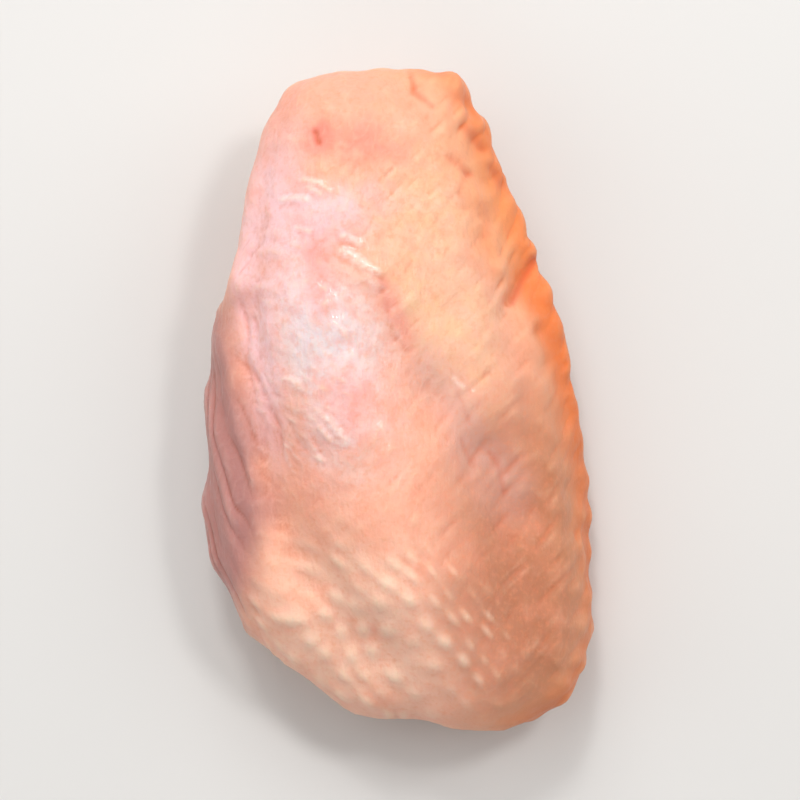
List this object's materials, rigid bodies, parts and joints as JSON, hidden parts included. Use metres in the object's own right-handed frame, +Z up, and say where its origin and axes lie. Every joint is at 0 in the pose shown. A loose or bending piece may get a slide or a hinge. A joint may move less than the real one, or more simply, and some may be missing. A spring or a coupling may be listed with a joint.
{
  "type": "raw chicken wing",
  "caption": "Raw whole chicken wing with its skin on, folded shut, lying with the outer side up.",
  "frame": {"origin": "centre of the bounding box at its lowest plane, the surface that the wing lies on", "axes": "+Z up through the outer side of the wing, +Y from the elbow to the wrist, +X towards the feathered edge"},
  "size_m": [0.0624, 0.1038, 0.0369],
  "materials": {
    "raw_skin": "moist satin, raw chicken skin"
  },
  "bodies": {
    "root": {"chicken_wing": "raw_skin"}
  },
  "joints": []
}
